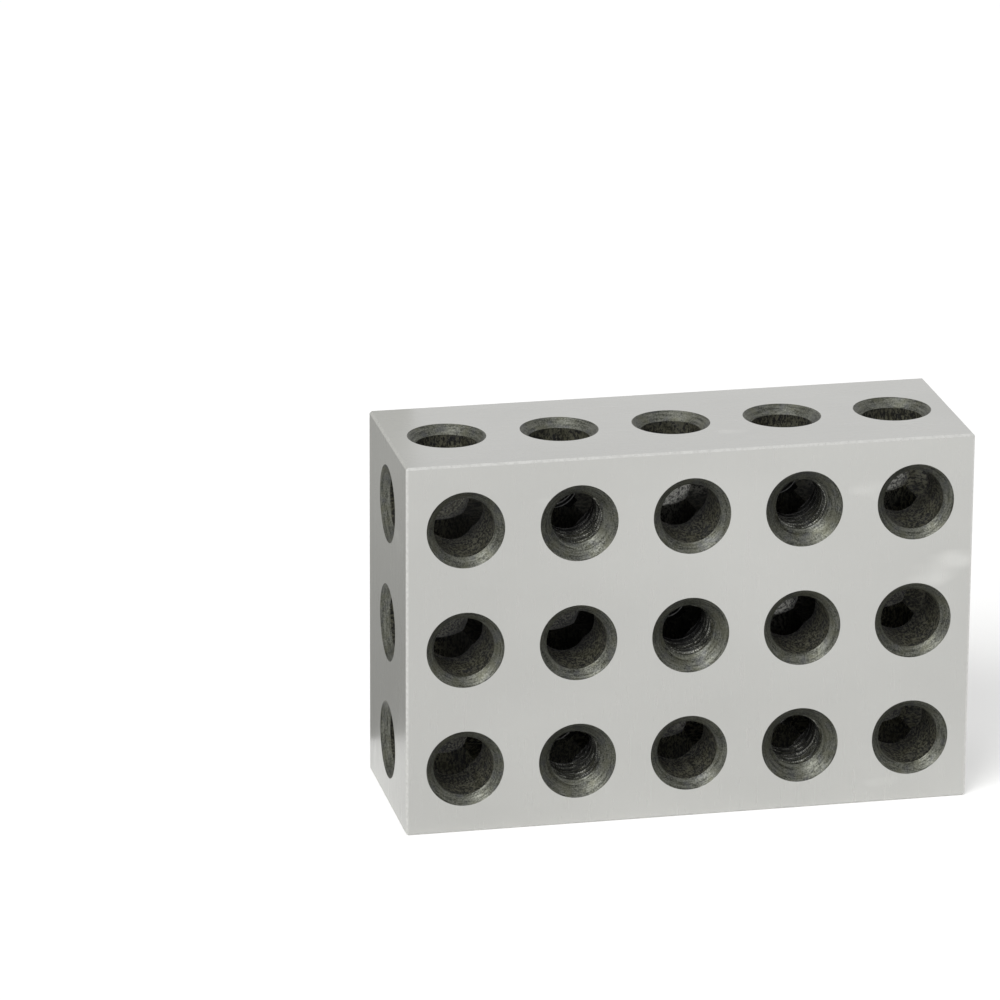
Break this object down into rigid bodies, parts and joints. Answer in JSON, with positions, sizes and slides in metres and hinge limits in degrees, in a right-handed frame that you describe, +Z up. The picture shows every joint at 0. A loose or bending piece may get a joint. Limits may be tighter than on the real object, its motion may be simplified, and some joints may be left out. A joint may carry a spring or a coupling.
{
  "type": "machinist setup block",
  "caption": "Ground steel setup block in the proportions three, two, one, pierced on every side by a lattice of countersunk holes, some of them tapped, for spacing and clamping work.",
  "frame": {"origin": "middle of the long narrow face that the block stands on", "axes": "+X along the three-inch length, +Y through the one-inch thickness to the back, +Z up the two-inch height"},
  "size_m": [0.0762, 0.0254, 0.0508],
  "materials": {
    "ground_tool_steel": "satin"
  },
  "bodies": {
    "root": {"setup_block": "ground_tool_steel"}
  },
  "joints": []
}
